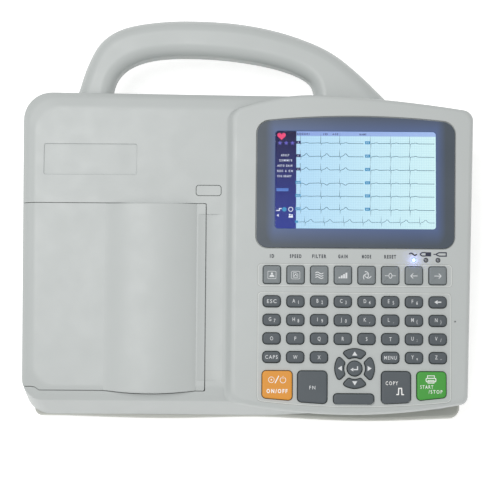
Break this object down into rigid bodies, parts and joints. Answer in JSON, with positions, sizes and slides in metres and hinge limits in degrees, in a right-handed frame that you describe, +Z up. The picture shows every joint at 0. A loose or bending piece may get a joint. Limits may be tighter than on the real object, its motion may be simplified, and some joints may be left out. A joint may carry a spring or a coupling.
{
  "type": "ecg machine",
  "caption": "Portable desktop electrocardiograph: sloping case with a rear carrying handle, hinged paper-recorder door, colour display, keypad and side and rear sockets.",
  "frame": {"origin": "middle of the footprint, on the surface the feet stand on", "axes": "+X to the operator's right, +Y to the rear where the handle is, +Z up"},
  "size_m": [0.3467, 0.3048, 0.0829],
  "materials": {
    "casing": "light grey, fine satin texture",
    "bezel": "blue-grey border around the display",
    "lens": "clear window over the display",
    "screen": "lit liquid-crystal display",
    "grey_key": "silicone keys, dark grey",
    "pale_key": "silicone keys, mid grey",
    "orange_key": "silicone key, orange",
    "green_key": "silicone key, green",
    "rubber": "black rubber",
    "board": "glass-fibre circuit board",
    "steel": "plated steel",
    "brass": "plated brass",
    "black": "black moulding",
    "white": "natural acetal or clear guide",
    "paper": "thermal chart paper"
  },
  "bodies": {
    "machine": {"upper_housing": "casing", "lower_housing": "casing", "handle_upper_shell": "casing", "handle_lower_shell": "casing", "foot_front_left": "rubber", "foot_front_right": "rubber", "foot_rear_left": "rubber", "foot_rear_right": "rubber", "battery_cover": "casing", "battery_pack": "black", "main_board": "board", "power_supply": "board", "patient_socket": "steel", "usb_socket": "steel", "mains_inlet": "black", "ground_post": "brass", "speaker": "black", "display_bezel": "bezel", "display_lens": "lens", "lcd_module": "screen", "keypad_board": "board", "indicator_guide": "white", "door_hinge_pin_front": "steel", "door_hinge_pin_rear": "steel", "idler_shaft": "steel", "stepper_motor": "steel", "printer_chassis": "steel", "printhead": "steel", "paper_tray": "casing"},
    "key_id": {"key_id": "pale_key"},
    "key_speed": {"key_speed": "pale_key"},
    "key_filter": {"key_filter": "pale_key"},
    "key_gain": {"key_gain": "pale_key"},
    "key_mode": {"key_mode": "pale_key"},
    "key_reset": {"key_reset": "pale_key"},
    "key_left": {"key_left": "pale_key"},
    "key_right": {"key_right": "pale_key"},
    "key_power": {"key_power": "orange_key"},
    "key_fn": {"key_fn": "grey_key"},
    "key_space": {"key_space": "grey_key"},
    "key_copy": {"key_copy": "grey_key"},
    "key_start_stop": {"key_start_stop": "green_key"},
    "nav_right": {"nav_right": "grey_key"},
    "nav_up": {"nav_up": "grey_key"},
    "nav_left": {"nav_left": "grey_key"},
    "nav_down": {"nav_down": "grey_key"},
    "nav_enter": {"nav_enter": "grey_key"},
    "keys_row_1": {"keys_row_1": "grey_key"},
    "keys_row_2": {"keys_row_2": "grey_key"},
    "keys_row_3": {"keys_row_3": "grey_key"},
    "keys_row_4_left": {"keys_row_4_left": "grey_key"},
    "keys_row_4_right": {"keys_row_4_right": "grey_key"},
    "door": {"printer_door": "casing"},
    "door_release": {"door_release_button": "casing"},
    "platen": {"platen_roller": "rubber", "platen_gear": "white"},
    "idler": {"idler_gear": "white"},
    "motor": {"motor_pinion": "brass"},
    "roll": {"paper_roll": "paper", "paper_spindle": "white"}
  },
  "joints": [
    {"name": "key_id_press", "type": "slide", "parent": "machine", "child": "key_id", "axis": [0, 0.1392, -0.9903], "range_m": [0, 0.0012], "stiffness_N_per_m": 300, "springref_m": -0.0004},
    {"name": "key_speed_press", "type": "slide", "parent": "machine", "child": "key_speed", "axis": [0, 0.1392, -0.9903], "range_m": [0, 0.0012], "stiffness_N_per_m": 300, "springref_m": -0.0004},
    {"name": "key_filter_press", "type": "slide", "parent": "machine", "child": "key_filter", "axis": [0, 0.1392, -0.9903], "range_m": [0, 0.0012], "stiffness_N_per_m": 300, "springref_m": -0.0004},
    {"name": "key_gain_press", "type": "slide", "parent": "machine", "child": "key_gain", "axis": [0, 0.1392, -0.9903], "range_m": [0, 0.0012], "stiffness_N_per_m": 300, "springref_m": -0.0004},
    {"name": "key_mode_press", "type": "slide", "parent": "machine", "child": "key_mode", "axis": [0, 0.1392, -0.9903], "range_m": [0, 0.0012], "stiffness_N_per_m": 300, "springref_m": -0.0004},
    {"name": "key_reset_press", "type": "slide", "parent": "machine", "child": "key_reset", "axis": [0, 0.1392, -0.9903], "range_m": [0, 0.0012], "stiffness_N_per_m": 300, "springref_m": -0.0004},
    {"name": "key_left_press", "type": "slide", "parent": "machine", "child": "key_left", "axis": [0, 0.1392, -0.9903], "range_m": [0, 0.0012], "stiffness_N_per_m": 300, "springref_m": -0.0004},
    {"name": "key_right_press", "type": "slide", "parent": "machine", "child": "key_right", "axis": [0, 0.1392, -0.9903], "range_m": [0, 0.0012], "stiffness_N_per_m": 300, "springref_m": -0.0004},
    {"name": "key_power_press", "type": "slide", "parent": "machine", "child": "key_power", "axis": [0, 0.1392, -0.9903], "range_m": [0, 0.0012], "stiffness_N_per_m": 300, "springref_m": -0.0004},
    {"name": "key_fn_press", "type": "slide", "parent": "machine", "child": "key_fn", "axis": [0, 0.1392, -0.9903], "range_m": [0, 0.0012], "stiffness_N_per_m": 300, "springref_m": -0.0004},
    {"name": "key_space_press", "type": "slide", "parent": "machine", "child": "key_space", "axis": [0, 0.1392, -0.9903], "range_m": [0, 0.0012], "stiffness_N_per_m": 300, "springref_m": -0.0004},
    {"name": "key_copy_press", "type": "slide", "parent": "machine", "child": "key_copy", "axis": [0, 0.1392, -0.9903], "range_m": [0, 0.0012], "stiffness_N_per_m": 300, "springref_m": -0.0004},
    {"name": "key_start_stop_press", "type": "slide", "parent": "machine", "child": "key_start_stop", "axis": [0, 0.1392, -0.9903], "range_m": [0, 0.0012], "stiffness_N_per_m": 300, "springref_m": -0.0004},
    {"name": "nav_right_press", "type": "slide", "parent": "machine", "child": "nav_right", "axis": [0, 0.1392, -0.9903], "range_m": [0, 0.0012], "stiffness_N_per_m": 300, "springref_m": -0.0004},
    {"name": "nav_up_press", "type": "slide", "parent": "machine", "child": "nav_up", "axis": [0, 0.1392, -0.9903], "range_m": [0, 0.0012], "stiffness_N_per_m": 300, "springref_m": -0.0004},
    {"name": "nav_left_press", "type": "slide", "parent": "machine", "child": "nav_left", "axis": [0, 0.1392, -0.9903], "range_m": [0, 0.0012], "stiffness_N_per_m": 300, "springref_m": -0.0004},
    {"name": "nav_down_press", "type": "slide", "parent": "machine", "child": "nav_down", "axis": [0, 0.1392, -0.9903], "range_m": [0, 0.0012], "stiffness_N_per_m": 300, "springref_m": -0.0004},
    {"name": "nav_enter_press", "type": "slide", "parent": "machine", "child": "nav_enter", "axis": [0, 0.1392, -0.9903], "range_m": [0, 0.0012], "stiffness_N_per_m": 300, "springref_m": -0.0004},
    {"name": "keys_row_1_press", "type": "slide", "parent": "machine", "child": "keys_row_1", "axis": [0, 0.1392, -0.9903], "range_m": [0, 0.0012], "stiffness_N_per_m": 300, "springref_m": -0.0004},
    {"name": "keys_row_2_press", "type": "slide", "parent": "machine", "child": "keys_row_2", "axis": [0, 0.1392, -0.9903], "range_m": [0, 0.0012], "stiffness_N_per_m": 300, "springref_m": -0.0004},
    {"name": "keys_row_3_press", "type": "slide", "parent": "machine", "child": "keys_row_3", "axis": [0, 0.1392, -0.9903], "range_m": [0, 0.0012], "stiffness_N_per_m": 300, "springref_m": -0.0004},
    {"name": "keys_row_4_left_press", "type": "slide", "parent": "machine", "child": "keys_row_4_left", "axis": [0, 0.1392, -0.9903], "range_m": [0, 0.0012], "stiffness_N_per_m": 300, "springref_m": -0.0004},
    {"name": "keys_row_4_right_press", "type": "slide", "parent": "machine", "child": "keys_row_4_right", "axis": [0, 0.1392, -0.9903], "range_m": [0, 0.0012], "stiffness_N_per_m": 300, "springref_m": -0.0004},
    {"name": "door_hinge", "type": "hinge", "parent": "machine", "child": "door", "pos_m": [-0.1689, -0.06175, 0.03675], "axis": [0, -0.9903, -0.1392], "range_deg": [0, 85]},
    {"name": "door_release_press", "type": "slide", "parent": "machine", "child": "door_release", "axis": [0, 0.1392, -0.9903], "range_m": [0, 0.002], "stiffness_N_per_m": 400, "springref_m": -0.0005},
    {"name": "platen_spin", "type": "hinge", "parent": "door", "child": "platen", "pos_m": [-0.0404, -0.06357, 0.04609], "axis": [0, 0.9903, 0.1392], "continuous": true},
    {"name": "idler_spin", "type": "hinge", "parent": "machine", "child": "idler", "pos_m": [-0.0404, 0.002, 0.0394], "axis": [0, 0.9903, 0.1392], "continuous": true},
    {"name": "motor_spin", "type": "hinge", "parent": "machine", "child": "motor", "pos_m": [-0.0257, 0.002, 0.0394], "axis": [0, 0.9903, 0.1392], "continuous": true},
    {"name": "paper_roll_spin", "type": "hinge", "parent": "machine", "child": "roll", "pos_m": [-0.074, -0.06239, 0.03767], "axis": [0, 0.9903, 0.1392], "continuous": true}
  ],
  "couplings": [
    {"joint": "idler_spin", "follows": "platen_spin", "ratio": -0.66667},
    {"joint": "motor_spin", "follows": "platen_spin", "ratio": 1.2}
  ]
}
